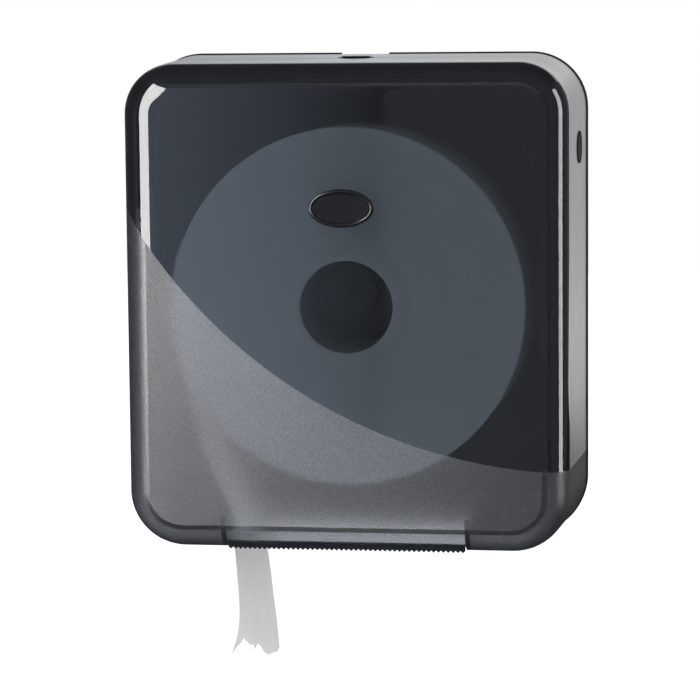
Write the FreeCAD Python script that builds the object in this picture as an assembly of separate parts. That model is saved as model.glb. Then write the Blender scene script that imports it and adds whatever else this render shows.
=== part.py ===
import FreeCAD, Part
import math
import os

# Jumbo toilet roll dispenser, in millimetres.
# +X is to the right of a person facing it, +Y points into the wall, +Z is up.
# The origin lies on the wall plane, at the centre of the four wall screws.
# A "depth" is a distance out from the wall, so a point at depth d has y = -d.

V = FreeCAD.Vector
overrun = 5.0

# Paper roll, its core, and the free sheet
roll_r = 131.5
roll_w = 90.0
roll_back = 12.5
core_r = 35.0
core_wall = 1.8
hang_gap = 0.3
sheet_t = 0.6
sheet_gap = 0.35
sheet_start_deg = 158.0
sheet_leave_deg = 188.0
sheet_upper_bow = -11.0
sheet_lower_bow_front = 5.6
sheet_lower_bow_back = 3.0
sheet_turn_rise = 5.0
sheet_cheek_gap = 0.9
sheet_end_shift_front = -4.4
sheet_end_shift_back = 17.6
sheet_end_drop_front = 79.5
sheet_end_drop_back = 96.5
tear_high_drop = 70.5
tear_low_drop = 96.0
tear_shares = [
    (0.00, 0.34), (0.10, 0.16), (0.245, 0.00), (0.36, 0.30), (0.465, 0.56), (0.54, 0.40),
    (0.65, 0.70), (0.745, 0.95), (0.86, 0.90), (0.95, 1.00), (1.00, 0.86),
]

# Case: room round the roll, outline at the rear edge of the cover, taper and front round
side_room = 36.0
end_room = 51.0
front_room = 24.5
corner_top_r = 41.0
corner_bottom_r = 45.5
draft_deg = 2.4
front_round_r = 22.0
inner_chamfer = 11.2
cover_wall = 2.8

# Sweep: the round line that parts the polished top of the cover from its frosted foot
sweep_low_rise = 64.7
sweep_climb = 203.4
sweep_low_out = 2.1
frost_step = 0.3

# Trim band: bright strip let into the top and sides of the cover
band_t = 1.2
band_setback = 21.5

# Back plate
plate_t = 6.0
plate_lip = 1.0
plate_gap = 0.5
plate_panel_t = 3.0
plate_edge_w = 7.0
plate_rib_t = 2.0
plate_pad_w = 9.0
plate_columns = 3
plate_rows = 4
rim_gap = 1.5
rim_t = 2.2
rim_h = 8.0
rim_foot_rise = 44.5
notch_w = 37.0
notch_h = 3.0
wall_hole_dx = 130.0
wall_hole_dz = 160.0
wall_hole_r = 3.2
wall_pad_w = 16.0

# Hinge at the foot of the case
hinge_depth = 18.0
hinge_rise = 10.5
hinge_r = 6.0
pin_r = 2.5
pin_clearance = 0.05
pin_end_out = 1.0
ear_t = 4.0
ear_rise = 11.0
ear_room = 7.5
knuckle_w = 15.0
knuckle_gap = 0.4
knuckle_web_drop = 1.0

# Paper slot and cutter
slot_margin = 79.0
lip_rise = 4.2
cheek_t = 3.0
cheek_rise = 20.5
cutter_t = 1.0
cutter_cover = 0.5
cutter_seat_h = 3.0
cutter_end_gap = 0.5
cutter_reach = 0.5
tooth_h = 1.6
tooth_count = 49
seat_clearance = 0.05

# Badge
badge_drop = 108.9
badge_w = 48.0
badge_h = 28.0
badge_end_r = 9.0
badge_border = 3.3
badge_rise = 1.4
badge_seat = 0.6
badge_plate_rise = 0.2
badge_bevel = 0.7

# Grip pads in the sides
grip_drop = 68.5
grip_depth = 50.5
grip_r = 12.0
grip_fit = 0.1
grip_rise = 0.9
grip_groove_w = 1.3
grip_groove_h = 0.9
grip_groove_count = 5

# Lock in the top
lock_depth = 50.5
lock_recess_r = 13.75
lock_recess_h = 1.2
lock_boss_r = 14.0
lock_boss_h = 5.0
lock_body_r = 8.0
lock_body_fit = 0.1
lock_body_len = 20.0
lock_face_r = 10.5
lock_face_t = 2.2
lock_nut_r = 12.0
lock_nut_h = 3.0
plug_r = 5.5
plug_clearance = 0.08
key_slot_w = 1.4
key_slot_l = 8.0
key_slot_h = 4.0
cam_t = 2.0
cam_w = 8.0
cam_reach = 24.0
cam_gap = 0.5
cam_stub_w = 4.6
cam_stub_clearance = 0.05
cam_screw_head_r = 4.4
cam_screw_head_h = 2.2
cam_screw_r = 1.5
cam_screw_len = 7.0

# Strike bracket on the back plate
strike_w = 90.0
strike_h = 24.0
strike_drop = 46.0
strike_t = 2.0
strike_arm_x = 14.5
strike_arm_w = 8.0
strike_arm_drop = 8.0
strike_tab_gap = 0.8
strike_tab_h = 4.0
strike_hole_x = 34.5
strike_bend_r = 3.0

# Spindle
spindle_flange_r = 46.0
spindle_flange_t = 4.0
post_r = 14.0
post_len = 66.0
post_screw_pitch_r = 36.0
post_screw_count = 3
sleeve_r = 25.0
sleeve_wall = 2.4
sleeve_web_t = 2.0
sleeve_web_count = 4
sleeve_clearance = 0.08
sleeve_end_play = 0.5
cap_r = 19.0
cap_t = 3.0

# Small screws
screw_r = 2.0
screw_head_r = 4.4
screw_head_h = 2.2
screw_len = 7.0
screw_pilot_fit = 0.1

# Values worked out from the sizes above
draft = math.tan(math.radians(draft_deg))
case_w = 2 * (roll_r + side_room)
case_h = 2 * (roll_r + end_room)
roll_front = roll_back + roll_w
case_depth = roll_front + front_room
foot_z = -case_h / 2
round_start = case_depth - front_round_r
cover_back = plate_t + plate_gap
sweep_reach = case_w + sweep_low_out
sweep_r = (sweep_reach * sweep_reach + sweep_climb * sweep_climb) / (2 * sweep_climb)
sweep_x = case_w / 2 + sweep_low_out
sweep_z = foot_z + sweep_low_rise + sweep_r
rim_foot_z = foot_z + rim_foot_rise
slot_w = case_w - 2 * slot_margin
ear_x = slot_w / 2 + cheek_t + ear_room
hinge_z = foot_z + hinge_rise
relief_depth = hinge_depth + knuckle_web_drop
relief_z = hinge_z + pin_r + pin_end_out
cheek_top_z = foot_z + cheek_rise
badge_z = case_h / 2 - badge_drop
badge_floor = case_depth - badge_seat
grip_z = case_h / 2 - grip_drop
strike_z = case_h / 2 - strike_drop
spindle_face = plate_t + spindle_flange_t
sleeve_back = spindle_face + sleeve_end_play
post_front = spindle_face + post_len
sleeve_front = post_front - sleeve_end_play
spindle_z = core_r - hang_gap - sleeve_r
sheet_turn_x = sheet_cheek_gap - slot_w / 2
sheet_turn_z = cheek_top_z + sheet_turn_rise
tear_high_z = foot_z - tear_high_drop
tear_low_z = foot_z - tear_low_drop


def half_width(depth, inset):
    return case_w / 2 - (depth - cover_back) * draft - inset


def half_height(depth, inset):
    return case_h / 2 - (depth - cover_back) * draft - inset


lip_z = lip_rise - half_height(round_start, 0)
lip_front = round_start + math.sqrt(lip_rise * (2 * front_round_r - lip_rise))
cutter_depth = lip_front - cutter_cover - cutter_t / 2
top_z = half_height(lock_depth, 0)
lock_seat_z = top_z - lock_recess_h
lock_boss_z = top_z - cover_wall - lock_boss_h
lock_body_z = lock_seat_z - lock_body_len
cam_top_z = lock_body_z - cam_gap
cam_low_z = cam_top_z - cam_t
lock_face_z = lock_seat_z + lock_face_t
plate_half_w = half_width(cover_back, -plate_lip)
plate_half_h = half_height(cover_back, -plate_lip)


# Small tools
def box(x0, x1, depth0, depth1, z0, z1):
    corner = V(min(x0, x1), -max(depth0, depth1), min(z0, z1))
    return Part.makeBox(abs(x1 - x0), abs(depth1 - depth0), abs(z1 - z0), corner)


def rod_out(r, x, z, depth0, depth1):
    return Part.makeCylinder(r, depth1 - depth0, V(x, -depth0, z), V(0, -1, 0))


def rod_across(r, depth, z, x0, x1):
    return Part.makeCylinder(r, x1 - x0, V(x0, -depth, z), V(1, 0, 0))


def rod_up(r, x, depth, z0, z1):
    return Part.makeCylinder(r, z1 - z0, V(x, -depth, z0), V(0, 0, 1))


def arc(a, b, c):
    return Part.Arc(a, b, c).toShape()


def hexagon(r, length):
    angles = [math.radians(60 * i) for i in range(7)]
    points = [V(r * math.cos(angle), r * math.sin(angle), 0) for angle in angles]
    return Part.Face(Part.makePolygon(points)).extrude(V(0, 0, length))


def hexagon_out(r, x, z, depth0, depth1):
    prism = hexagon(r, depth1 - depth0)
    prism.rotate(V(0, 0, 0), V(1, 0, 0), 90)
    prism.translate(V(x, -depth0, z))
    return prism


def both_sides(shape):
    return shape.fuse(shape.mirror(V(0, 0, 0), V(1, 0, 0)))


def mirrored_group(shape):
    return Part.makeCompound([shape, shape.mirror(V(0, 0, 0), V(1, 0, 0))])


# Case forms
def outline(depth, inset):
    y = -depth
    w = half_width(depth, inset)
    h = half_height(depth, inset)
    shrink = (depth - cover_back) * draft + inset
    top = corner_top_r - shrink
    foot = corner_bottom_r - shrink
    diagonal = math.sqrt(0.5)
    corners = [(1, 1, top), (-1, 1, top), (-1, -1, foot), (1, -1, foot)]
    edges = []
    last = None
    for sx, sz, r in corners:
        cx = sx * (w - r)
        cz = sz * (h - r)
        on_side = V(sx * w, y, cz)
        on_end = V(cx, y, sz * h)
        middle = V(cx + sx * r * diagonal, y, cz + sz * r * diagonal)
        first, final = (on_side, on_end) if sx * sz > 0 else (on_end, on_side)
        if last:
            edges.append(Part.makeLine(last, first))
        else:
            start = first
        edges.append(arc(first, middle, final))
        last = final
    edges.append(Part.makeLine(last, start))
    return Part.Wire(edges)


def tapered(depth0, depth1, inset):
    return Part.makeLoft([outline(depth0, inset), outline(depth1, inset)], True, True)


def rounded(back, inset):
    blank = tapered(back, case_depth - inset, inset)
    front = min(blank.Faces, key=lambda face: face.CenterOfMass.y)
    return blank.makeFillet(front_round_r - inset, front.OuterWire.Edges)


def sweep_drum():
    length = case_depth + 2 * overrun
    return Part.makeCylinder(sweep_r, length, V(sweep_x, overrun, sweep_z), V(0, -1, 0))


# Oval of four arcs, the outline of the badge and of what lies inside it by an inset
def oval(inset, depth0, depth1):
    a = badge_w / 2 - inset
    b = badge_h / 2 - inset
    end_r = badge_end_r - inset
    side_r = (a * a + b * b - 2 * a * end_r) / (2 * (b - end_r))
    tilt = math.atan2(side_r - b, a - end_r)
    meet = V(a - end_r + end_r * math.cos(tilt), 0, end_r * math.sin(tilt))
    quarters = [(1, 1), (-1, 1), (-1, -1), (1, -1)]
    meets = [V(sx * meet.x, 0, sz * meet.z) for sx, sz in quarters]
    tops = [V(0, 0, b), V(-a, 0, 0), V(0, 0, -b), V(a, 0, 0)]
    edges = [arc(meets[i], tops[i], meets[(i + 1) % 4]) for i in range(4)]
    face = Part.Face(Part.Wire(edges))
    face.translate(V(0, -depth0, badge_z))
    return face.extrude(V(0, depth0 - depth1, 0))


# Cover: a tapered shell with rounded front edges, a slot, cheeks, knuckles and seats
def cover_blank():
    front = box(-case_w, case_w, case_depth - frost_step, case_depth + overrun, -case_h, case_h)
    return rounded(cover_back, 0).cut(front.cut(sweep_drum()))


def cover_hollow():
    blank = tapered(cover_back - overrun, case_depth - cover_wall, cover_wall)
    front = min(blank.Faces, key=lambda face: face.CenterOfMass.y)
    return blank.makeChamfer(inner_chamfer, front.OuterWire.Edges)


def cheek(blank):
    x0 = slot_w / 2
    wall = box(x0, x0 + cheek_t, relief_depth, case_depth, foot_z, cheek_top_z)
    return both_sides(wall.common(blank))


def knuckle(blank):
    x0 = ear_x + ear_t + knuckle_gap
    x1 = x0 + knuckle_w
    barrel = rod_across(hinge_r, hinge_depth, hinge_z, x0, x1)
    web_front = hinge_depth + hinge_r
    web = box(x0, x1, relief_depth, web_front, -case_h / 2, hinge_z).common(blank)
    solid = barrel.fuse(web)
    bore = rod_across(pin_r + pin_clearance, hinge_depth, hinge_z, x0 - overrun, x1 + overrun)
    return both_sides(solid.cut(bore))


def lock_boss(blank):
    boss = rod_up(lock_boss_r, 0, lock_depth, lock_boss_z, top_z)
    return boss.common(blank)


def cutter_groove():
    half = slot_w / 2
    t = cutter_t / 2 + seat_clearance
    top = lip_z + cutter_seat_h + seat_clearance
    return box(-half, half, cutter_depth - t, cutter_depth + t, lip_z - overrun, top)


def front_cover():
    blank = cover_blank()
    shell = blank.cut(cover_hollow())
    shell = shell.fuse([cheek(blank), lock_boss(blank)])
    far_x = case_w
    shell = shell.cut(box(-far_x, far_x, 0, relief_depth, -case_h, relief_z))
    half = slot_w / 2
    shell = shell.cut(box(-half, half, 0, case_depth, -case_h, lip_z))
    shell = shell.fuse(knuckle(blank))
    shell = shell.cut(trim_band(False))
    badge_sink = oval(0, badge_floor, case_depth + overrun)
    lock_sink = rod_up(lock_recess_r, 0, lock_depth, lock_seat_z, case_h)
    lock_bore = rod_up(lock_body_r + lock_body_fit, 0, lock_depth, lock_boss_z - overrun, case_h)
    grip_bore = rod_across(grip_r, grip_depth, grip_z, -case_w, case_w)
    return shell.cut([badge_sink, lock_sink, lock_bore, grip_bore, cutter_groove()])


def trim_band(pierced):
    band_front = case_depth - band_setback
    outer = tapered(cover_back, band_front, 0)
    inner = tapered(cover_back - overrun, band_front + overrun, band_t)
    band = outer.cut(inner).common(sweep_drum())
    if not pierced:
        return band
    lock_sink = rod_up(lock_recess_r, 0, lock_depth, lock_seat_z - overrun, case_h)
    grip_bore = rod_across(grip_r, grip_depth, grip_z, -case_w, case_w)
    return band.cut([lock_sink, grip_bore])


def cutter_strip():
    half = slot_w / 2 - cutter_end_gap
    pitch = 2 * half / tooth_count
    tip_z = -half_height(round_start, 0) - cutter_reach
    root_z = tip_z + tooth_h
    y = -cutter_depth + cutter_t / 2
    top = lip_z + cutter_seat_h
    points = [V(half, y, top), V(-half, y, top)]
    for i in range(tooth_count):
        x = -half + i * pitch
        points.append(V(x, y, root_z))
        points.append(V(x + pitch / 2, y, tip_z))
    points.append(V(half, y, root_z))
    points.append(points[0])
    return Part.Face(Part.makePolygon(points)).extrude(V(0, -cutter_t, 0))


def badge_bezel():
    ring = oval(0, badge_floor, case_depth + badge_rise)
    face = min(ring.Faces, key=lambda item: item.CenterOfMass.y)
    ring = ring.makeChamfer(badge_bevel, face.OuterWire.Edges)
    return ring.cut(oval(badge_border, 0, case_depth + overrun))


def badge_plate():
    return oval(badge_border + seat_clearance, badge_floor, case_depth + badge_plate_rise)


def grip_pad(side):
    disc = rod_across(grip_r - grip_fit, grip_depth, grip_z, 0, case_w)
    disc = disc.common(tapered(cover_back, case_depth, -grip_rise))
    pad = disc.cut(tapered(cover_back - overrun, case_depth + overrun, cover_wall))
    groove_floor = tapered(cover_back - overrun, case_depth + overrun, grip_groove_h - grip_rise)
    pitch = 2 * grip_r / (grip_groove_count + 1)
    for i in range(grip_groove_count):
        depth = grip_depth - grip_r + (i + 1) * pitch
        depth0 = depth - grip_groove_w / 2
        groove = box(0, case_w, depth0, depth0 + grip_groove_w, grip_z - grip_r, grip_z + grip_r)
        pad = pad.cut(groove.cut(groove_floor))
    return pad if side > 0 else pad.mirror(V(0, 0, 0), V(1, 0, 0))


# Lock: fixed body and nut, turning plug with its cam and screw
def hexagon_at_lock(r, z0, z1):
    prism = hexagon(r, z1 - z0)
    prism.translate(V(0, -lock_depth, z0))
    return prism


def square_at_lock(w, z0, z1):
    return box(-w / 2, w / 2, lock_depth - w / 2, lock_depth + w / 2, z0, z1)


def lock_body():
    barrel = rod_up(lock_body_r, 0, lock_depth, lock_body_z, lock_seat_z)
    face = rod_up(lock_face_r, 0, lock_depth, lock_seat_z, lock_face_z)
    bore = rod_up(plug_r + plug_clearance, 0, lock_depth, lock_body_z - overrun, case_h)
    return barrel.fuse(face).cut(bore)


def lock_nut():
    nut = hexagon_at_lock(lock_nut_r, lock_boss_z - lock_nut_h, lock_boss_z)
    bore_r = lock_body_r + seat_clearance
    return nut.cut(rod_up(bore_r, 0, lock_depth, lock_boss_z - lock_nut_h - overrun, case_h))


def lock_plug():
    shank = rod_up(plug_r, 0, lock_depth, cam_top_z, lock_face_z)
    stub = square_at_lock(cam_stub_w, cam_low_z, cam_top_z)
    half_w = key_slot_w / 2
    half_l = key_slot_l / 2
    slot_z = lock_face_z - key_slot_h
    slot = box(-half_w, half_w, lock_depth - half_l, lock_depth + half_l, slot_z, case_h)
    pilot = hexagon_at_lock(cam_screw_r, cam_low_z - overrun, cam_low_z + cam_screw_len)
    return shank.fuse(stub).cut([slot, pilot])


def lock_cam():
    half = cam_w / 2
    hub = rod_up(half, 0, lock_depth, cam_low_z, cam_top_z)
    tip_depth = lock_depth - cam_reach
    blade = box(-half, half, tip_depth, lock_depth, cam_low_z, cam_top_z)
    eye = square_at_lock(cam_stub_w + 2 * cam_stub_clearance, cam_low_z - overrun, case_h)
    return hub.fuse(blade).cut(eye)


def cam_screw():
    head = hexagon_at_lock(cam_screw_head_r, cam_low_z - cam_screw_head_h, cam_low_z)
    shank_r = cam_screw_r - seat_clearance
    return head.fuse(hexagon_at_lock(shank_r, cam_low_z, cam_low_z + cam_screw_len))


# Small screws that point into the wall, head outwards: they and their holes have six plain sides
def wall_screw(x, z, seat_depth):
    head = hexagon_out(screw_head_r, x, z, seat_depth, seat_depth + screw_head_h)
    return head.fuse(hexagon_out(screw_r, x, z, seat_depth - screw_len, seat_depth))


def screw_hole(x, z, depth0, depth1):
    return hexagon_out(screw_r + screw_pilot_fit, x, z, depth0, depth1)


def strike_points():
    return [(-strike_hole_x, strike_z), (strike_hole_x, strike_z)]


def spindle_points():
    points = []
    for i in range(post_screw_count):
        angle = math.radians(90 + 360 * i / post_screw_count)
        x = post_screw_pitch_r * math.cos(angle)
        points.append((x, spindle_z + post_screw_pitch_r * math.sin(angle)))
    return points


# Back plate: ribbed behind, with a locating rim and hinge ears in front
def rear_pockets():
    half_w = plate_half_w - plate_edge_w
    half_h = plate_half_h - plate_edge_w
    pitch_x = (2 * half_w + plate_rib_t) / plate_columns
    pitch_z = (2 * half_h + plate_rib_t) / plate_rows
    depth = plate_t - plate_panel_t
    cells = []
    for column in range(plate_columns):
        x0 = -half_w + column * pitch_x
        for row in range(plate_rows):
            z0 = -half_h + row * pitch_z
            cell = box(x0, x0 + pitch_x - plate_rib_t, 0, depth, z0, z0 + pitch_z - plate_rib_t)
            cells.append(cell)
    field = tapered(cover_back, 2 * cover_back, plate_edge_w - plate_lip)
    field.translate(V(0, cover_back, 0))
    return [cell.common(field) for cell in cells]


def wall_holes():
    dx = wall_hole_dx / 2
    dz = wall_hole_dz / 2
    return [(sx * dx, sz * dz) for sx in (-1, 1) for sz in (-1, 1)]


def hinge_ear(x0):
    eye = rod_across(hinge_r, hinge_depth, hinge_z, x0, x0 + ear_t)
    arm = box(x0, x0 + ear_t, plate_t - seat_clearance, hinge_depth, hinge_z, hinge_z + ear_rise)
    front = [e for e in arm.Edges if abs(e.CenterOfMass.y + hinge_depth) < seat_clearance]
    top = [e for e in front if e.CenterOfMass.z > hinge_z + ear_rise / 2]
    upper = [e for e in top if abs(e.CenterOfMass.x - x0 - ear_t / 2) < seat_clearance]
    arm = arm.makeFillet(hinge_r, upper)
    return eye.fuse(arm)


# The rim stands in three straight runs, along the top and the sides
def locating_rim():
    inset = cover_wall + rim_gap
    outer = tapered(plate_t, plate_t + rim_h, inset)
    inner = tapered(plate_t - overrun, plate_t + rim_h + overrun, inset + rim_t)
    top_x = half_width(cover_back, corner_top_r)
    top_z = half_height(cover_back, corner_top_r)
    top_run = box(-top_x, top_x, 0, case_depth, 0, case_h)
    side_runs = box(-case_w, case_w, 0, case_depth, rim_foot_z, top_z)
    return outer.cut(inner).common(top_run.fuse(side_runs))


def back_plate():
    outer_wire = outline(cover_back, -plate_lip)
    panel = Part.Face(outer_wire).extrude(V(0, -plate_t, 0))
    panel.translate(V(0, cover_back, 0))
    bosses = []
    for x, z in wall_holes():
        half = wall_pad_w / 2
        bosses.append(box(x - half, x + half, 0, plate_t, z - half, z + half))
    for x, z in strike_points() + spindle_points():
        half = plate_pad_w / 2
        bosses.append(box(x - half, x + half, 0, plate_t, z - half, z + half))
    pockets = [pocket.cut(bosses) for pocket in rear_pockets()]
    panel = panel.cut(pockets)
    plate = panel.fuse([locating_rim(), both_sides(hinge_ear(ear_x))])
    half = notch_w / 2
    cuts = [box(-half, half, -overrun, plate_t, plate_half_h - notch_h, case_h)]
    for x, z in wall_holes():
        cuts.append(rod_out(wall_hole_r, x, z, -overrun, plate_t + overrun))
    for x, z in strike_points() + spindle_points():
        cuts.append(screw_hole(x, z, -overrun, plate_t + overrun))
    cuts.append(rod_across(pin_r + seat_clearance, hinge_depth, hinge_z, -case_w, case_w))
    return plate.cut(cuts)


def hinge_pins():
    x0 = ear_x - pin_end_out
    x1 = ear_x + ear_t + knuckle_gap + knuckle_w
    return mirrored_group(rod_across(pin_r, hinge_depth, hinge_z, x0, x1))


def strike_bracket():
    half = strike_w / 2
    back = plate_t
    face = plate_t + strike_t
    arm_top = cam_low_z - strike_arm_drop + strike_t
    z0 = strike_z - strike_h / 2
    z1 = strike_z + strike_h / 2
    base = box(-half, half, back, face, z0, z1)
    corners = [e for e in base.Edges if e.BoundBox.YLength > strike_t / 2]
    base = base.makeFillet(strike_bend_r, corners)
    x0 = strike_arm_x
    x1 = strike_arm_x + strike_arm_w
    tab_front = lock_depth + cam_w / 2 + strike_tab_gap + strike_t
    riser = box(x0, x1, back, face, z1 - strike_h / 2, arm_top)
    arm = box(x0, x1, back, tab_front, arm_top - strike_t, arm_top)
    tab = box(x0, x1, tab_front - strike_t, tab_front, arm_top - strike_t, cam_top_z + strike_tab_h)
    bracket = base.fuse([riser, arm, tab]).removeSplitter()
    for x, z in strike_points():
        bracket = bracket.cut(screw_hole(x, z, 0, face + overrun))
    return bracket


# Spindle: post on a six-sided flange, turning sleeve that runs on the tips of its webs, end cap
def spindle_post():
    flange = hexagon_out(spindle_flange_r, 0, spindle_z, plate_t, spindle_face)
    post = rod_out(post_r, 0, spindle_z, spindle_face, post_front)
    cuts = [screw_hole(0, spindle_z, post_front + cap_t - screw_len, post_front + overrun)]
    for x, z in spindle_points():
        cuts.append(screw_hole(x, z, 0, spindle_face + overrun))
    return flange.fuse(post).cut(cuts)


def spindle_sleeve():
    tube = rod_out(sleeve_r, 0, spindle_z, sleeve_back, sleeve_front)
    tube = tube.cut(rod_out(sleeve_r - sleeve_wall, 0, spindle_z, 0, case_depth))
    webs = []
    half = sleeve_web_t / 2
    tip = post_r + sleeve_clearance
    for i in range(sleeve_web_count):
        web = box(tip, sleeve_r - sleeve_wall / 2, sleeve_back, sleeve_front, -half, half)
        web.rotate(V(0, 0, 0), V(0, 1, 0), 360 * i / sleeve_web_count)
        web.translate(V(0, 0, spindle_z))
        webs.append(web)
    return tube.fuse(webs)


def spindle_cap():
    cap = rod_out(cap_r, 0, spindle_z, post_front, post_front + cap_t)
    return cap.cut(screw_hole(0, spindle_z, 0, case_depth))


# Roll, core and the free sheet that hangs through the slot
def paper_roll():
    roll = rod_out(roll_r, 0, 0, roll_back, roll_front)
    return roll.cut(rod_out(core_r + core_wall, 0, 0, 0, case_depth))


def roll_core():
    tube = rod_out(core_r + core_wall, 0, 0, roll_back, roll_front)
    return tube.cut(rod_out(core_r, 0, 0, 0, case_depth))


def roll_point(degrees, r):
    angle = math.radians(degrees)
    return (r * math.cos(angle), r * math.sin(angle))


def bowed(a, b, bow):
    length = math.hypot(b[0] - a[0], b[1] - a[1])
    x = (a[0] + b[0]) / 2 - (b[1] - a[1]) / length * bow
    z = (a[1] + b[1]) / 2 + (b[0] - a[0]) / length * bow
    return (x, z)


def offset_points(points, distance):
    shifted = []
    for i, (x, z) in enumerate(points):
        ax, az = points[max(i - 1, 0)]
        bx, bz = points[min(i + 1, len(points) - 1)]
        length = math.hypot(bx - ax, bz - az)
        shifted.append((x - (bz - az) / length * distance, z + (bx - ax) / length * distance))
    return shifted


def sheet_profile(depth, lower_bow, end_shift, end_drop):
    y = -depth
    r = roll_r + sheet_gap + sheet_t / 2
    middle = roll_point((sheet_start_deg + sheet_leave_deg) / 2, r)
    leave = roll_point(sheet_leave_deg, r)
    turn = (sheet_turn_x, sheet_turn_z)
    end = (sheet_turn_x + end_shift, foot_z - end_drop)
    points = [roll_point(sheet_start_deg, r), middle, leave]
    points += [bowed(leave, turn, sheet_upper_bow), turn, bowed(turn, end, lower_bow), end]
    outer = [V(x, y, z) for x, z in offset_points(points, sheet_t / 2)]
    inner = [V(x, y, z) for x, z in offset_points(points, -sheet_t / 2)]
    edges = [arc(outer[i], outer[i + 1], outer[i + 2]) for i in (0, 2, 4)]
    edges.append(Part.makeLine(outer[-1], inner[-1]))
    edges += [arc(inner[i], inner[i - 1], inner[i - 2]) for i in (6, 4, 2)]
    edges.append(Part.makeLine(inner[0], outer[0]))
    return Part.Wire(edges)


def torn_foot():
    span = tear_low_z - tear_high_z
    far = case_w
    points = [V(-far, -roll_back + overrun, -case_h), V(-far, -roll_front - overrun, -case_h)]
    edge = [(roll_front - share * roll_w, tear_high_z + low * span) for share, low in tear_shares]
    points.append(V(-far, -roll_front - overrun, edge[0][1]))
    points += [V(-far, -depth, z) for depth, z in edge]
    points.append(V(-far, -roll_back + overrun, edge[-1][1]))
    points.append(points[0])
    return Part.Face(Part.makePolygon(points)).extrude(V(2 * far, 0, 0))


def paper_sheet():
    front = (sheet_lower_bow_front, sheet_end_shift_front, sheet_end_drop_front)
    back = (sheet_lower_bow_back, sheet_end_shift_back, sheet_end_drop_back)
    front = sheet_profile(roll_front, *front)
    back = sheet_profile(roll_back, *back)
    return Part.makeLoft([front, back], True, True).cut(torn_foot())


nodes = {
    "back_plate": back_plate(),
    "hinge_pins": hinge_pins(),
    "strike_bracket": strike_bracket(),
    "strike_screws": Part.makeCompound([wall_screw(x, z, plate_t + strike_t) for x, z in strike_points()]),
    "spindle_post": spindle_post(),
    "spindle_screws": Part.makeCompound([wall_screw(x, z, spindle_face) for x, z in spindle_points()]),
    "spindle_sleeve": spindle_sleeve(),
    "spindle_cap": spindle_cap(),
    "spindle_cap_screw": wall_screw(0, spindle_z, post_front + cap_t),
    "paper_roll": paper_roll(),
    "roll_core": roll_core(),
    "paper_sheet": paper_sheet(),
    "front_cover": front_cover(),
    "trim_band": trim_band(True),
    "cutter_strip": cutter_strip(),
    "badge_bezel": badge_bezel(),
    "badge_plate": badge_plate(),
    "left_grip_pad": grip_pad(-1),
    "right_grip_pad": grip_pad(1),
    "lock_body": lock_body(),
    "lock_nut": lock_nut(),
    "lock_plug": lock_plug(),
    "lock_cam": lock_cam(),
    "cam_screw": cam_screw(),
}

os.makedirs("parts", exist_ok=True)
for name, shape in nodes.items():
    shape.exportStep("parts/" + name + ".step")
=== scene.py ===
import math
import random

import bpy
from mathutils import Matrix, Quaternion, Vector


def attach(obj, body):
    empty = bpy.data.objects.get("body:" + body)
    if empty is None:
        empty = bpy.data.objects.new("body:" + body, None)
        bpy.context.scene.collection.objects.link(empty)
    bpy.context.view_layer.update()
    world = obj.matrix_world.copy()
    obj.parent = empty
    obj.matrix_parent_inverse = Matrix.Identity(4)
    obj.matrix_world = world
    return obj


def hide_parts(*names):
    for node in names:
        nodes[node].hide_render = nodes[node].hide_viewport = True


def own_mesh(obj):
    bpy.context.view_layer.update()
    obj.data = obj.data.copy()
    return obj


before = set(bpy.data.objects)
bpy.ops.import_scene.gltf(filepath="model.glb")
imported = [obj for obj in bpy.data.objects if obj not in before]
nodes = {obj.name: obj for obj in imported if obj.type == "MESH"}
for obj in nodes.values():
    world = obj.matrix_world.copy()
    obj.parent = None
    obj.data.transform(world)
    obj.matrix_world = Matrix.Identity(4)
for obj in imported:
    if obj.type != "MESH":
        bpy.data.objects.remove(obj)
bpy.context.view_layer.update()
mm = 0.001

# Places that the cover's finish follows, in metres: the sweep line is an arc about an axis
# along Y, and the slot in the foot has a rib on each side
SWEEP_CENTRE = (0.1696, 0.0, 0.2632)
SWEEP_RADIUS = 0.381
SWEEP_BLEND = 0.1 * mm
SLOT_HALF = 0.0885
SLOT_TOP = -0.142
RIB_TOP = -0.1525
RIB_WIDE = 3.5 * mm

# Where most of a noise texture's values lie
NOISE_RANGE = (0.36, 0.64)


# Small node helpers
def set_input(tree, node, key, value):
    if isinstance(value, bpy.types.NodeSocket):
        tree.links.new(value, node.inputs[key])
    else:
        node.inputs[key].default_value = value


def add_node(tree, kind, settings):
    """A shader node; each setting is one of its inputs or else one of its properties."""
    node = tree.nodes.new("ShaderNode" + kind)
    for key, value in settings.items():
        if key in node.inputs:
            set_input(tree, node, key, value)
        else:
            setattr(node, key, value)
    return node


def maths(tree, operation, *values):
    """A Math node, whose values are plain or come from other nodes."""
    node = tree.nodes.new("ShaderNodeMath")
    node.operation = operation
    for key, value in enumerate(values):
        set_input(tree, node, key, value)
    return node.outputs[0]


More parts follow.
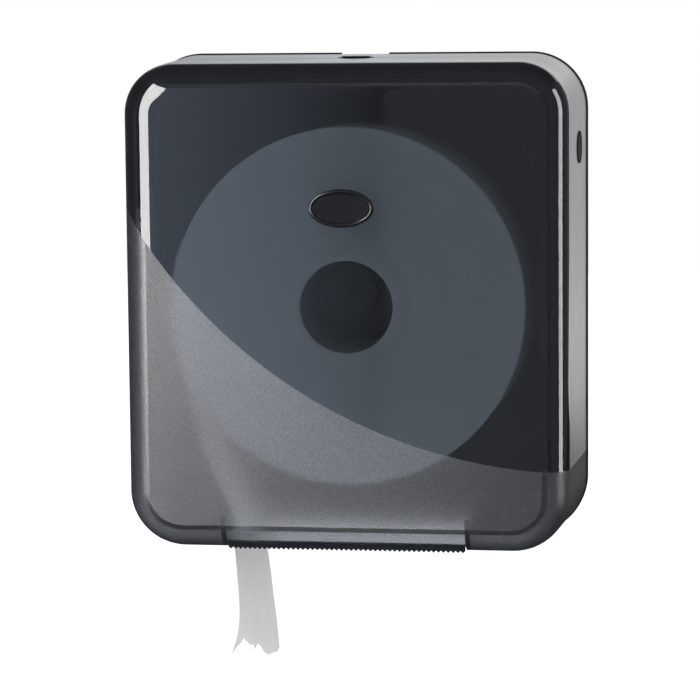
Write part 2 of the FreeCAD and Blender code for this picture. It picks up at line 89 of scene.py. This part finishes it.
class Finish:
    """One material: its node tree, its Principled shader and short ways to add nodes."""

    def __init__(self, name, **plain):
        self.material = bpy.data.materials.new(name)
        self.material.use_nodes = True
        self.tree = self.material.node_tree
        self.shader = self.tree.nodes["Principled BSDF"]
        for socket, value in plain.items():
            self.shader.inputs[socket.replace("_", " ")].default_value = value

    def add(self, kind, **settings):
        return add_node(self.tree, kind, settings)

    def wire(self, output, target):
        self.tree.links.new(output, target)

    def feed(self, socket, output):
        self.wire(output, self.shader.inputs[socket])

    def effect(self, name, **values):
        node = self.tree.nodes.new("ShaderNodeGroup")
        node.node_tree = bpy.data.node_groups[name]
        for key, value in values.items():
            set_input(self.tree, node, key.replace("_", " "), value)
        return node

    def bump(self, height, distance, strength):
        node = self.add("Bump", Height=height, Distance=distance, Strength=strength)
        self.feed("Normal", node.outputs["Normal"])

    def mixed(self, mask, dark, light):
        """The colour between two colours, each plain or from another node."""
        mix = self.add("Mix", data_type="RGBA")
        set_input(self.tree, mix, 0, mask)
        for slot, colour in ((6, dark), (7, light)):
            set_input(self.tree, mix, slot, (*colour, 1) if isinstance(colour, tuple) else colour)
        return mix.outputs[2]

    def tint(self, mask, dark, light):
        self.feed("Base Color", self.mixed(mask, dark, light))

    def spread(self, value, start, end):
        """A mask that goes from 0 to 1 as the value goes from start to end."""
        node = self.add("MapRange", Value=value)
        node.inputs["From Min"].default_value = start
        node.inputs["From Max"].default_value = end
        return node.outputs[0]

    def ranged(self, socket, mask, low, high):
        """Feed a socket a value between low and high, as the mask says."""
        node = self.add("MapRange", Value=mask)
        node.inputs["To Min"].default_value = low
        node.inputs["To Max"].default_value = high
        self.feed(socket, node.outputs[0])

    def flattened(self, place):
        """A place without its depth, for patterns round an axis along Y."""
        node = self.add("VectorMath", operation="MULTIPLY")
        self.wire(place, node.inputs[0])
        node.inputs[1].default_value = (1, 0, 1)
        return node.outputs[0]

    def put_on(self, *names):
        for name in names:
            for slot in nodes[name].material_slots:
                slot.material = self.material


# Effects that several finishes share
def start_effect(name, inputs, outputs):
    tree = bpy.data.node_groups.new(name, "ShaderNodeTree")
    for label, value in inputs.items():
        socket = tree.interface.new_socket(label, in_out="INPUT", socket_type="NodeSocketFloat")
        socket.default_value = value
    for label in outputs:
        tree.interface.new_socket(label, in_out="OUTPUT", socket_type="NodeSocketFloat")
    source = tree.nodes.new("NodeGroupInput").outputs
    sink = tree.nodes.new("NodeGroupOutput").inputs
    place = tree.nodes.new("ShaderNodeTexCoord").outputs["Object"]
    return tree, source, sink, place


def make_mould_grain():
    """Fine spark-eroded grain with slow cloudy change, for moulded plastics."""
    tree, source, sink, place = start_effect(
        "mould_grain", {"Grain per metre": 1500.0, "Cloud per metre": 25.0}, ["Grain", "Cloud"])
    grain = add_node(tree, "TexNoise", {
        "Vector": place, "Scale": source[0], "Detail": 3.0, "Roughness": 0.6})
    cloud = add_node(tree, "TexNoise", {
        "Vector": place, "Scale": source[1], "Detail": 4.0, "Roughness": 0.5})
    tree.links.new(grain.outputs[0], sink[0])
    tree.links.new(cloud.outputs[0], sink[1])


def make_brushed_lines():
    """Long fine lines that run across and down the part, close together in its depth."""
    bands_per_line = 0.06
    tree, source, sink, place = start_effect(
        "brushed_lines", {"Across per metre": 2600.0, "Along per metre": 14.0}, ["Lines", "Bands"])
    apart = add_node(tree, "SeparateXYZ", {"Vector": place}).outputs
    across = maths(tree, "MULTIPLY", apart[1], source[0])
    along = maths(tree, "MULTIPLY", maths(tree, "ADD", apart[0], apart[2]), source[1])
    lines_at = add_node(tree, "CombineXYZ", {"X": across, "Y": along})
    lines = add_node(tree, "TexNoise", {"Vector": lines_at.outputs[0], "Scale": 1.0, "Detail": 3.0})
    slow_at = add_node(tree, "CombineXYZ", {
        "X": maths(tree, "MULTIPLY", across, bands_per_line), "Y": along})
    bands = add_node(tree, "TexNoise", {"Vector": slow_at.outputs[0], "Scale": 1.0, "Detail": 2.0})
    tree.links.new(lines.outputs[0], sink[0])
    tree.links.new(bands.outputs[0], sink[1])


def make_handling_marks():
    """Sparse scuffs and soft smudges from handling; a scuff is where its noise peaks."""
    tree, source, sink, place = start_effect(
        "handling_marks", {"Marks per metre": 60.0}, ["Smudge", "Scuff"])
    smudge = add_node(tree, "TexNoise", {
        "Vector": place, "Scale": source[0], "Detail": 5.0, "Distortion": 0.8})
    stretched = add_node(tree, "Mapping", {"Vector": place})
    stretched.inputs["Rotation"].default_value = (0.4, 0.2, 0.7)
    stretched.inputs["Scale"].default_value = (1.0, 14.0, 9.0)
    scuff = add_node(tree, "TexNoise", {
        "Vector": stretched.outputs[0], "Scale": source[0], "Detail": 2.0})
    sharp = add_node(tree, "MapRange", {
        "Value": scuff.outputs[0], "From Min": 0.68, "From Max": 0.76})
    tree.links.new(smudge.outputs[0], sink[0])
    tree.links.new(sharp.outputs[0], sink[1])


# Finishes
def cover_thickness_and_shade(finish, place):
    """1 where the cover is darkened: in its round edges, walls and recesses, partly for the longer
    path through smoked plastic and partly as painted shade, and on the slot's ribs as painted
    shade; between the ribs the foot is darkened less, as painted light from the open slot, and
    faces at 45 degrees are not darkened.
    """
    flat_facing, edge_facing = 0.99, 0.30
    chamfer_facing, chamfer_within = math.sqrt(0.5), 0.004
    # painted light from the open slot: the foot between the ribs is darkened less
    slot_painted_light = 0.6
    tree = finish.tree
    facing = maths(tree, "ABSOLUTE", finish.add("SeparateXYZ", Vector=place["Normal"]).outputs[1])
    rounded = finish.spread(facing, flat_facing, edge_facing)
    across, _, height = finish.add("SeparateXYZ", Vector=place["Object"]).outputs
    aside = maths(tree, "ABSOLUTE", across)
    slot = maths(tree, "MULTIPLY", maths(tree, "LESS_THAN", aside, SLOT_HALF),
                 maths(tree, "LESS_THAN", height, SLOT_TOP))
    chamfer = maths(tree, "COMPARE", facing, chamfer_facing, chamfer_within)
    painted_light_or_chamfer = maths(tree, "MAXIMUM", maths(tree, "MULTIPLY", slot, slot_painted_light), chamfer)
    # painted shade on the slot's ribs
    rib_shade = maths(tree, "MULTIPLY", maths(tree, "LESS_THAN", height, RIB_TOP),
                maths(tree, "COMPARE", aside, SLOT_HALF + 0.5 * RIB_WIDE, 0.5 * RIB_WIDE))
    thick_or_shaded_edges = maths(tree, "MULTIPLY", rounded, maths(tree, "SUBTRACT", 1.0, painted_light_or_chamfer))
    return maths(tree, "MAXIMUM", thick_or_shaded_edges, rib_shade)


def smoked_cover_finish():
    """Smoked clear plastic, polished above the sweep line and frosted below it."""
    polished_rough, frosted_rough, thick_rough, scuffed_rough = 0.025, 0.28, 0.22, 0.03
    finish = Finish("smoked_cover", Transmission_Weight=0.98, IOR=1.5)
    tree = finish.tree
    place = finish.add("TexCoord").outputs
    reach = finish.add("VectorMath", operation="DISTANCE")
    finish.wire(finish.flattened(place["Object"]), reach.inputs[0])
    reach.inputs[1].default_value = SWEEP_CENTRE
    frosted = finish.spread(
        reach.outputs["Value"], SWEEP_RADIUS - SWEEP_BLEND, SWEEP_RADIUS + SWEEP_BLEND)
    # darker rounds, walls and recesses: the longer path through smoked plastic, and painted shade
    thick_or_shaded = cover_thickness_and_shade(finish, place)
    grain = finish.effect("mould_grain", Grain_per_metre=850.0, Cloud_per_metre=30.0)
    marks = finish.effect("handling_marks", Marks_per_metre=40.0)
    speck = finish.spread(grain.outputs["Grain"], *NOISE_RANGE)
    hazy = finish.mixed(speck, (0.28, 0.305, 0.345), (0.57, 0.605, 0.67))
    zone = finish.mixed(frosted, (0.370, 0.407, 0.448), hazy)
    # dark colours for the rounds, walls, recesses and ribs, partly painted shade
    thick_or_shaded_tone = finish.mixed(frosted, (0.022, 0.023, 0.028), (0.045, 0.046, 0.052))
    finish.feed("Base Color", finish.mixed(thick_or_shaded, zone, thick_or_shaded_tone))
    frost = maths(tree, "MULTIPLY_ADD", thick_or_shaded, thick_rough, frosted_rough)
    rough = maths(tree, "MULTIPLY_ADD", frosted, frost, polished_rough)
    finish.feed("Roughness", maths(
        tree, "MULTIPLY_ADD", marks.outputs["Scuff"], scuffed_rough, rough))
    finish.bump(maths(tree, "MULTIPLY", grain.outputs["Grain"], frosted), 0.30 * mm, 0.45)
    return finish


def plate_finish():
    """Matt black plastic of the wall plate."""
    finish = Finish("plate_plastic", Specular_IOR_Level=0.25)
    grain = finish.effect("mould_grain", Grain_per_metre=1800.0, Cloud_per_metre=18.0)
    marks = finish.effect("handling_marks", Marks_per_metre=25.0)
    finish.tint(grain.outputs["Cloud"], (0.010, 0.010, 0.012), (0.024, 0.025, 0.028))
    finish.ranged("Roughness", marks.outputs["Smudge"], 0.42, 0.62)
    finish.bump(grain.outputs["Grain"], 0.12 * mm, 0.6)
    return finish


def band_finish():
    """Brushed aluminium, of fine lines with slower bands between them."""
    lines_share, bands_share = 0.6, 0.4
    finish = Finish("band_aluminium", Metallic=1.0, Anisotropic=0.4)
    lines = finish.effect("brushed_lines", Across_per_metre=1500.0, Along_per_metre=22.0)
    mix = maths(finish.tree, "ADD",
                maths(finish.tree, "MULTIPLY", lines.outputs["Lines"], lines_share),
                maths(finish.tree, "MULTIPLY", lines.outputs["Bands"], bands_share))
    finish.tint(finish.spread(mix, *NOISE_RANGE), (0.50, 0.50, 0.507), (0.78, 0.78, 0.786))
    finish.ranged("Roughness", lines.outputs["Bands"], 0.30, 0.44)
    finish.bump(lines.outputs["Lines"], 0.04 * mm, 0.4)
    return finish


def plain_plastic_finish(name, dark, light, rough, gloss=0.5, grain_size=1600.0, depth=0.08 * mm):
    """Moulded plastic between two colours, with a smallest and largest roughness."""
    finish = Finish(name, Specular_IOR_Level=gloss)
    grain = finish.effect("mould_grain", Grain_per_metre=grain_size, Cloud_per_metre=60.0)
    marks = finish.effect("handling_marks", Marks_per_metre=90.0)
    finish.tint(grain.outputs["Cloud"], dark, light)
    finish.ranged("Roughness", marks.outputs["Smudge"], *rough)
    finish.bump(grain.outputs["Grain"], depth, 0.5)
    return finish


def plated_steel_finish(name, dark, light, rough):
    """Plated or blackened metal between two colours, with a smallest and largest roughness."""
    finish = Finish(name, Metallic=1.0)
    lines = finish.effect("brushed_lines", Across_per_metre=3500.0, Along_per_metre=60.0)
    marks = finish.effect("handling_marks", Marks_per_metre=200.0)
    finish.tint(marks.outputs["Smudge"], dark, light)
    finish.ranged("Roughness", lines.outputs["Lines"], *rough)
    finish.bump(lines.outputs["Lines"], 0.02 * mm, 0.4)
    return finish


def tissue_finish(name, wound):
    """Soft white paper; where it is wound, the edges of its turns show too."""
    finish = Finish(name, Roughness=0.95, Specular_IOR_Level=0.1, Sheen_Weight=0.15)
    tree = finish.tree
    place = finish.add("TexCoord").outputs["Object"]
    fibre = finish.add("TexNoise", Vector=place, Scale=420.0, Detail=6.0, Roughness=0.65)
    cloud = finish.add("TexNoise", Vector=place, Scale=28.0, Detail=3.0)
    blend = maths(tree, "ADD", maths(tree, "MULTIPLY", fibre.outputs[0], 0.5),
                  maths(tree, "MULTIPLY", cloud.outputs[0], 0.5))
    finish.tint(blend, (0.76, 0.76, 0.76), (0.90, 0.90, 0.90))
    height = fibre.outputs[0]
    if wound:
        out = finish.add("VectorMath", operation="LENGTH")
        finish.wire(finish.flattened(place), out.inputs[0])
        turns = finish.add("CombineXYZ", X=out.outputs["Value"])
        layers = finish.add("TexNoise", Vector=turns.outputs[0], Scale=900.0, Detail=2.0)
        height = maths(tree, "ADD", height, layers.outputs[0])
    finish.bump(height, 0.25 * mm, 0.5)
    return finish


def board_finish():
    """Grey-brown board of the core."""
    finish = Finish("core_board", Roughness=0.85)
    place = finish.add("TexCoord").outputs["Object"]
    fibre = finish.add("TexNoise", Vector=place, Scale=300.0, Detail=6.0)
    finish.tint(fibre.outputs[0], (0.30, 0.28, 0.25), (0.44, 0.42, 0.38))
    finish.bump(fibre.outputs[0], 0.2 * mm, 0.5)
    return finish


# Objects and meshes
def put_in_scene(name, data):
    thing = bpy.data.objects.new(name, data)
    bpy.context.scene.collection.objects.link(thing)
    return thing


def mesh_object(name, points, faces, finish):
    mesh = bpy.data.meshes.new(name)
    mesh.from_pydata(points, [], faces)
    mesh.update()
    mesh.polygons.foreach_set("use_smooth", [True] * len(mesh.polygons))
    mesh.materials.append(finish.material)
    return put_in_scene(name, mesh)


def flat_panel(name, corners, finish):
    mesh = bpy.data.meshes.new(name)
    mesh.from_pydata(corners, [], [(0, 1, 2, 3)])
    mesh.materials.append(finish.material)
    panel = put_in_scene(name, mesh)
    return panel


def spun_ring(name, profile, turns, finish, place):
    """A closed profile turned about an axis along Y; place gives the point of each pair in it."""
    points = []
    faces = []
    count = len(profile)
    for i in range(turns):
        angle = 2 * math.pi * i / turns
        points.extend(place(out, y, angle) for out, y in profile)
        after = (i + 1) % turns
        for j in range(count):
            k = (j + 1) % count
            faces.append((i * count + j, i * count + k, after * count + k, after * count + j))
    return mesh_object(name, points, faces, finish)


# Wound roll, in metres; its front face is flat outside its soft lip
ROLL_RADIUS = 0.1315
ROLL_FRONT = -0.1025
ROLL_BACK = -0.0125
CORE_OUTSIDE = 0.0368
FLAT_FROM = CORE_OUTSIDE + 12.0 * mm
ROLL_RINGS = 54
ROLL_TURNS = 144
UNEVEN_MM = 0.22
EDGE_IN = 0.5 * mm
EDGE_STEP = 0.1 * mm
EDGE_ROUND = 1.2 * mm
# The inner turns' soft lip in millimetres: out from the core's outside, and from the front face
LIP = [(0.0, 0.6), (-1.2, -0.1), (-2.3, -0.7), (-2.6, -1.3), (-2.0, -1.9), (-0.4, -2.3),
       (2.0, -2.2), (5.0, -1.5), (9.0, -0.6)]
# How the lip leans: the width that leans, its shift left and down, and how much lower it is
LEAN_WIDTH = 5.0 * mm
LEAN_LEFT = 0.7 * mm
LEAN_DOWN = 0.5 * mm
LEAN_LOWER = 0.02


def roll_point(radius, y, angle):
    near = max(0.0, 1.0 - abs(radius - CORE_OUTSIDE) / LEAN_WIDTH)
    lean = near if y < ROLL_FRONT else 0.0
    x = radius * math.cos(angle) - LEAN_LEFT * lean
    z = radius * math.sin(angle) * (1.0 - LEAN_LOWER * lean) - LEAN_DOWN * lean
    return (x, y, z)


def wound_roll(finish):
    """The tissue, whose inner turns stand proud and lean over the end of the core."""
    draw = random.Random(7)
    front = [(CORE_OUTSIDE + out * mm, ROLL_FRONT + rise * mm) for out, rise in LIP]
    back = []
    for i in range(ROLL_RINGS + 1):
        front.append((FLAT_FROM + (ROLL_RADIUS - FLAT_FROM) * i / ROLL_RINGS,
                      ROLL_FRONT + draw.uniform(0.0, UNEVEN_MM) * mm))
        back.append((CORE_OUTSIDE + (ROLL_RADIUS - CORE_OUTSIDE) * i / ROLL_RINGS,
                     ROLL_BACK - draw.uniform(0.0, UNEVEN_MM) * mm))
    front[-1] = (ROLL_RADIUS - EDGE_IN, ROLL_FRONT + EDGE_STEP)
    front.append((ROLL_RADIUS, ROLL_FRONT + EDGE_ROUND))
    back[-1] = (ROLL_RADIUS - EDGE_IN, ROLL_BACK - EDGE_STEP)
    back.append((ROLL_RADIUS, ROLL_BACK - EDGE_ROUND))
    roll = spun_ring("wound_roll", front + back[::-1], ROLL_TURNS, finish, roll_point)
    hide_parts("paper_roll")
    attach(roll, "roll")


# Free sheet, in millimetres: where it lies on the roll, in degrees, then x and z of its run down
# to where its two edges part, and of each edge from there to below the foot
SHEET_RADIUS = 132.15
SHEET_WRAP = [158, 163, 168, 173, 178, 183, 188]
LIFT_FROM = 178
LIFT_PER_DEGREE = 0.11
SHEET_RUN = [(-121.5, -63.0), (-108.0, -107.0), (-97.5, -134.0)]
EDGES_PART = -157.0
FREE_EDGES = {
    "front": [(-87.6, EDGES_PART), (-86.3, -180.0), (-84.9, -205.0), (-84.2, -227.0),
              (-86.3, -245.0), (-92.5, -266.0)],
    "back": [(-87.6, EDGES_PART), (-81.2, -183.0), (-76.8, -209.0), (-74.1, -234.0),
             (-71.5, -259.0), (-69.0, -284.0)],
}
# Where the foot is torn: share of the width from the front edge, and height
TORN_FOOT = [
    (0.00, -261.6), (0.05, -260.2), (0.10, -257.4), (0.155, -256.3), (0.20, -253.2),
    (0.245, -253.6), (0.29, -256.4), (0.36, -260.8), (0.40, -262.0), (0.465, -267.4),
    (0.50, -266.0), (0.54, -263.4), (0.585, -265.4), (0.65, -270.4), (0.70, -273.0),
    (0.745, -276.8), (0.78, -275.0), (0.82, -276.4), (0.86, -274.9), (0.90, -276.6),
    (0.95, -277.7), (0.975, -275.5), (1.00, -274.8),
]
# Ripples of the hanging part: height, waves across, start, and the start's drift with the hang
# and with the way down
RIPPLES = [(0.75, 16.0, 0.6, 0.5, 0.0), (0.55, 31.0, 2.0, 0.0, 0.0), (0.25, 57.0, 0.0, 0.0, 9.0)]
RIPPLE_TOP = -186.0
RIPPLE_GROWTH = 60.0
SHEET_FRONT = -102.5
SHEET_WIDTH = 90.0
SHEET_STEPS = 8
SHEET_ACROSS = 72
FEATHER = 0.5
# The thickness of the sheet's ply, in metres
PLY = 0.3 * mm


def smooth_line(points):
    """A smooth line through points, with some steps between each two."""
    padded = [points[0], *points, points[-1]]
    line = []
    for k in range(1, len(padded) - 2):
        a, b, c, d = (Vector(p) for p in padded[k - 1:k + 3])
        for i in range(SHEET_STEPS):
            t = i / SHEET_STEPS
            line.append(0.5 * (2 * b + (c - a) * t + (2 * a - 5 * b + 4 * c - d) * t * t
                               + (3 * b - a - 3 * c + d) * t * t * t))
    line.append(Vector(points[-1]))
    return line


def sheet_edge(side):
    """Points down one edge of the sheet."""
    wrap = []
    for degrees in SHEET_WRAP:
        radius = SHEET_RADIUS + LIFT_PER_DEGREE * max(0, degrees - LIFT_FROM)
        angle = math.radians(degrees)
        wrap.append((radius * math.cos(angle), radius * math.sin(angle)))
    return smooth_line(wrap + SHEET_RUN + FREE_EDGES[side])


def torn_height(share):
    for (low_share, low), (high_share, high) in zip(TORN_FOOT, TORN_FOOT[1:]):
        if share <= high_share:
            return low + (high - low) * (share - low_share) / (high_share - low_share)
    return TORN_FOOT[-1][1]


def sheet_x(front, back, start, share, z):
    """The sheet's x at a height below where its edges part, without its ripples."""
    for k in range(start, len(front) - 1):
        high = front[k].lerp(back[k], share)
        low = front[k + 1].lerp(back[k + 1], share)
        if low[1] <= z:
            part = (z - high[1]) / (low[1] - high[1])
            return high[0] + (low[0] - high[0]) * part


def ripple(share, z, down):
    hang = min(1.0, max(0.0, (RIPPLE_TOP - z) / RIPPLE_GROWTH))
    return hang * sum(height * math.sin(waves * share + start + by_hang * hang + by_way * down)
                      for height, waves, start, by_hang, by_way in RIPPLES)


def free_sheet(finish):
    """One ply that comes off the roll, turns at the cheek of the slot and hangs to its foot."""
    draw = random.Random(11)
    front = sheet_edge("front")
    back = sheet_edge("back")
    parting = (len(SHEET_WRAP) + len(SHEET_RUN)) * SHEET_STEPS
    rows = len(front) - parting - 1
    columns = SHEET_ACROSS + 1
    feather = [draw.uniform(-FEATHER, FEATHER) for _ in range(columns)]
    points = []
    faces = []
    for i in range(len(front)):
        for j in range(columns):
            share = j / SHEET_ACROSS
            if i <= parting:
                x, z = front[i].lerp(back[i], share)
            else:
                foot = torn_height(share) + feather[j]
                down = (i - parting) / rows
                z = EDGES_PART + (foot - EDGES_PART) * down
                x = sheet_x(front, back, parting, share, z) + ripple(share, z, down)
            y = SHEET_FRONT + SHEET_WIDTH * share
            points.append((x * mm, y * mm, z * mm))
    for i in range(len(front) - 1):
        for j in range(SHEET_ACROSS):
            a = i * columns + j
            faces.append((a, a + 1, a + columns + 1, a + columns))
    web = mesh_object("free_sheet", points, faces, finish)
    solid = web.modifiers.new("ply", "SOLIDIFY")
    solid.thickness = PLY
    solid.offset = 0
    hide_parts("paper_sheet")
    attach(web, "wall_side")
    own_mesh(web)


# Badge, in millimetres but for its height in metres: half width and half height of the bezel's
# outline and of its inner edge, and its profile as share of the way in and y
BADGE_HEIGHT = 0.0736
BADGE_OUTER = (23.8, 13.9)
BADGE_INNER = (20.4, 10.5)
BEZEL_PROFILE = [(0.0, -126.6), (0.0, -127.5), (0.12, -128.0), (0.3, -128.3), (0.5, -128.4),
                 (0.7, -128.25), (0.86, -127.9), (0.95, -127.5), (1.0, -127.1), (1.0, -126.6)]
BEZEL_TURNS = 96


def bezel_point(share, y, angle):
    wide = BADGE_OUTER[0] + (BADGE_INNER[0] - BADGE_OUTER[0]) * share
    tall = BADGE_OUTER[1] + (BADGE_INNER[1] - BADGE_OUTER[1]) * share
    return (wide * mm * math.cos(angle), y * mm, BADGE_HEIGHT + tall * mm * math.sin(angle))


def round_bezel(finish):
    bezel = spun_ring("round_bezel", BEZEL_PROFILE, BEZEL_TURNS, finish, bezel_point)
    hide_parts("badge_bezel")
    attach(bezel, "cover")
    return bezel


# Stage in metres: floor, lights, reflection cards and camera
FLOOR_HALF = 9.0
FLOOR_DROP = -0.8
FLOOR_GLOW = 0.35
ROOM_LIGHT = 0.78
KEY_ENERGY = 0.9
KEY_WIDTH = math.radians(22)
KEY_TURN = (math.radians(48), 0, math.radians(-38))
FRONT_AT = -3.5
SIDE_AT = 3.4
TOP_AT = 3.0
FLAG_TINT = (0.86, 0.92, 1.0)
GLOW_TINT = (0.62, 0.74, 1.0)
WHITE = (1, 1, 1)
CAMERA_PLACE = Vector((0.346705, -2.266226, 0.220814))
CAMERA_AIM = Vector((-0.156394, 0.981022, -0.114615))
CAMERA_ROLL = math.radians(-0.531)
CAMERA_LENS = 154.65
CAMERA_SENSOR = 36.0


def shown_rays(tree):
    """1 for a ray from the camera, also once it is mirrored or let through on its way."""
    path = tree.nodes.new("ShaderNodeLightPath").outputs
    direct = maths(tree, "MAXIMUM", path["Is Camera Ray"], path["Is Glossy Ray"])
    seen = maths(tree, "MAXIMUM", direct, path["Is Transmission Ray"])
    return maths(tree, "MULTIPLY", seen, maths(tree, "LESS_THAN", path["Diffuse Depth"], 0.5))


def pale_floor():
    paint = Finish("floor_paint", Roughness=0.9, Specular_IOR_Level=0.0)
    paint.shader.inputs["Base Color"].default_value = (0.9, 0.9, 0.9, 1)
    paint.shader.inputs["Emission Color"].default_value = (1, 1, 1, 1)
    paint.feed("Emission Strength",
               maths(paint.tree, "MULTIPLY", shown_rays(paint.tree), FLOOR_GLOW))
    half, drop = FLOOR_HALF, FLOOR_DROP
    flat_panel("floor", [(-half, -half, drop), (half, -half, drop), (half, half, drop),
                         (-half, half, drop)], paint)


def room_light():
    """An even white room, which is a little dimmer as light than as background."""
    world = bpy.data.worlds.new("studio")
    bpy.context.scene.world = world
    world.use_nodes = True
    tree = world.node_tree
    shown = add_node(tree, "Background", {"Color": (1, 1, 1, 1), "Strength": 1.0})
    light = tree.nodes["Background"]
    light.inputs["Color"].default_value = (1, 1, 1, 1)
    light.inputs["Strength"].default_value = ROOM_LIGHT
    mix = tree.nodes.new("ShaderNodeMixShader")
    tree.links.new(shown_rays(tree), mix.inputs[0])
    tree.links.new(light.outputs[0], mix.inputs[1])
    tree.links.new(shown.outputs[0], mix.inputs[2])
    tree.links.new(mix.outputs[0], tree.nodes["World Output"].inputs[0])


def key_light():
    sun = bpy.data.lights.new("key", "SUN")
    sun.energy = KEY_ENERGY
    sun.angle = KEY_WIDTH
    key = put_in_scene("key", sun)
    key.rotation_euler = KEY_TURN
    key.visible_glossy = False


def reflection_card(name, centre, across, up, glow, colour=FLAG_TINT, fade=None, axis=0,
                    inner=1.0, through=True):
    """A panel that only shiny surfaces see, and clear plastic in its depth where through is set.

    fade is its glow at its far side along the axis, and inner the height, as a share of up, of
    its upper corner on the side away from across.
    """
    c, a, u = Vector(centre), Vector(across), Vector(up)
    paint = Finish(name + "_paint", Roughness=1.0, Specular_IOR_Level=0.0)
    paint.shader.inputs["Base Color"].default_value = (0, 0, 0, 1)
    paint.shader.inputs["Emission Color"].default_value = (*colour, 1)
    paint.shader.inputs["Emission Strength"].default_value = glow
    if fade is not None:
        place = paint.add("TexCoord").outputs["Generated"]
        along = paint.add("SeparateXYZ", Vector=place).outputs[axis]
        paint.ranged("Emission Strength", along, glow, fade)
    panel = flat_panel(name, [c - a - u, c + a - u, c + a + u, c - a + u * inner], paint)
    panel.visible_camera = False
    panel.visible_diffuse = False
    panel.visible_transmission = through
    panel.visible_shadow = False
    return panel


def light_only(panels, shiny):
    """Let these bright panels show in the shiny pieces alone, not in the metal or the tissue."""
    seen_in = bpy.data.collections.new("shiny_pieces")
    for piece in shiny:
        seen_in.objects.link(piece)
    for panel in panels:
        panel.light_linking.receiver_collection = seen_in


def photo_camera():
    lens = bpy.data.cameras.new("camera")
    lens.lens = CAMERA_LENS
    lens.sensor_width = CAMERA_SENSOR
    camera = put_in_scene("camera", lens)
    turn = CAMERA_AIM.to_track_quat("-Z", "Y") @ Quaternion((0, 0, 1), CAMERA_ROLL)
    camera.matrix_world = Matrix.Translation(CAMERA_PLACE) @ turn.to_matrix().to_4x4()
    bpy.context.scene.camera = camera


bpy.context.scene.view_settings.view_transform = "Standard"
photo_camera()
make_mould_grain()
make_brushed_lines()
make_handling_marks()

smoked_cover_finish().put_on("front_cover")
plate_finish().put_on("back_plate")
band_finish().put_on("trim_band")
plain_plastic_finish(
    "strip_plastic", (0.012, 0.012, 0.015), (0.022, 0.023, 0.027), (0.3, 0.45), gloss=0.12,
).put_on("cutter_strip")
badge_gloss = plain_plastic_finish(
    "badge_gloss", (0.008, 0.009, 0.011), (0.014, 0.015, 0.018), (0.10, 0.20), gloss=0.25,
    grain_size=900.0, depth=0.02 * mm)
plain_plastic_finish(
    "badge_satin", (0.012, 0.0135, 0.016), (0.020, 0.022, 0.025), (0.28, 0.36), gloss=0.12,
).put_on("badge_plate")
plain_plastic_finish(
    "grip_rubber", (0.012, 0.012, 0.012), (0.026, 0.026, 0.027), (0.5, 0.7), gloss=0.2,
).put_on("left_grip_pad", "right_grip_pad")
plain_plastic_finish(
    "spindle_plastic", (0.010, 0.010, 0.012), (0.018, 0.018, 0.021), (0.4, 0.55),
).put_on("spindle_post", "spindle_cap", "spindle_sleeve")
plated_steel_finish(
    "black_steel", (0.016, 0.016, 0.018), (0.030, 0.030, 0.033), (0.35, 0.5),
).put_on("strike_bracket", "strike_screws", "spindle_screws", "spindle_cap_screw", "lock_nut",
         "lock_cam", "cam_screw")
plated_steel_finish(
    "zinc_steel", (0.42, 0.43, 0.44), (0.62, 0.63, 0.64), (0.25, 0.4),
).put_on("hinge_pins")
plated_steel_finish(
    "lock_metal", (0.03, 0.03, 0.032), (0.055, 0.055, 0.058), (0.48, 0.60),
).put_on("lock_body")
plated_steel_finish(
    "plug_metal", (0.04, 0.04, 0.042), (0.07, 0.07, 0.073), (0.42, 0.55),
).put_on("lock_plug")
board_finish().put_on("roll_core")
wound_roll(tissue_finish("wound_tissue", True))
bezel = round_bezel(badge_gloss)
free_sheet(tissue_finish("loose_tissue", False))

pale_floor()
room_light()
key_light()
reflection_card("front_flag", (0, FRONT_AT, -1.1), (4.5, 0, 0), (0, 0, 1.9), 0.24)
reflection_card("front_rise", (0, FRONT_AT, 1.9), (4.5, 0, 0), (0, 0, 1.1), 0.24,
                fade=0.30, axis=2)
reflection_card("front_glow", (-1.0, FRONT_AT + 0.1, -0.1), (0.55, 0, 0), (0, 0, 1.6), 3.6,
                GLOW_TINT, fade=0.0, through=False)
reflection_card("left_flag", (-SIDE_AT, 2.75, 0), (0, 6.25, 0), (0, 0, 3.0), 0.12)
reflection_card("right_flag", (SIDE_AT, 2.75, 0), (0, 6.25, 0), (0, 0, 3.0), 0.26)
reflection_card("top_flag", (0, -1.5, TOP_AT), (SIDE_AT, 0, 0), (0, 2.0, 0), 0.30,
                fade=0.16, axis=1)
reflection_card("top_back_flag", (0, 2.75, TOP_AT), (SIDE_AT, 0, 0), (0, 2.25, 0), 0.14)
reflection_card("back_left_flag", (-2.5, 5.6, 0.9), (1.8, 0, 0), (0, 0, 1.1), 0.0,
                fade=0.9, through=False)
reflection_card("under_flag", (0, 0.5, FLOOR_DROP + 0.06), (SIDE_AT, 0, 0), (0, 3.9, 0), 0.06,
                through=False)
strip = reflection_card("left_strip", (-1.270, -1.918, 0.85), (-0.550, 0.364, 0), (0, 0, 1.35),
                        17.0, WHITE, inner=0.1, through=False)
line = reflection_card("right_line", (2.9, 0.075, 0.1), (0, 0.475, 0), (0, 0, 1.9),
                       8.5, WHITE, through=False)
light_only([strip, line], [nodes["front_cover"], bezel])
